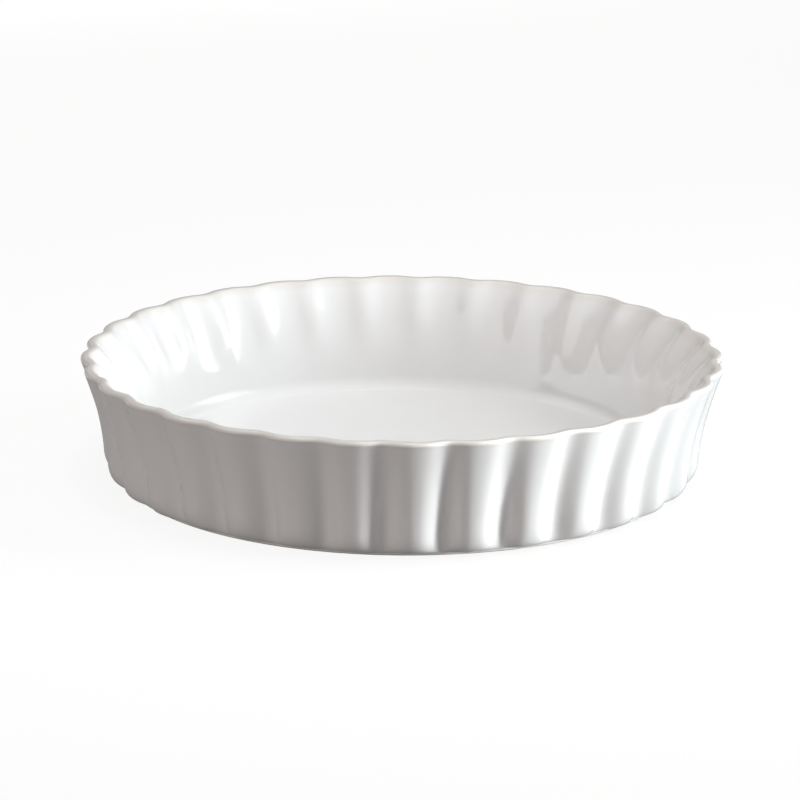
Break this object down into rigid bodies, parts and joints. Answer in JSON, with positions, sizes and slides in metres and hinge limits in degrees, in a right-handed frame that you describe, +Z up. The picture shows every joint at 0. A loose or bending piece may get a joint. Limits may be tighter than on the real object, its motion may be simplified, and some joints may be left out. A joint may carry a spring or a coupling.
{
  "type": "fluted baking dish",
  "caption": "Deep round baking dish with a fluted, flared wall, a rounded lip, a flat floor with a cove round it and a low foot ring, for flans, quiches and tarts.",
  "frame": {"origin": "centre of the foot ring, on the plane that it stands on", "axes": "+Z up through the middle of the dish; a lobe of the wall points along each of +X, -X, +Y and -Y; the picture was taken from about -Y"},
  "size_m": [0.28, 0.28, 0.0535],
  "materials": {
    "bare_clay": "matt, fired and unglazed",
    "white_glaze": "gloss white"
  },
  "bodies": {
    "root": {"clay_body": "bare_clay", "glaze_coat": "white_glaze", "underside_glaze": "white_glaze"}
  },
  "joints": []
}
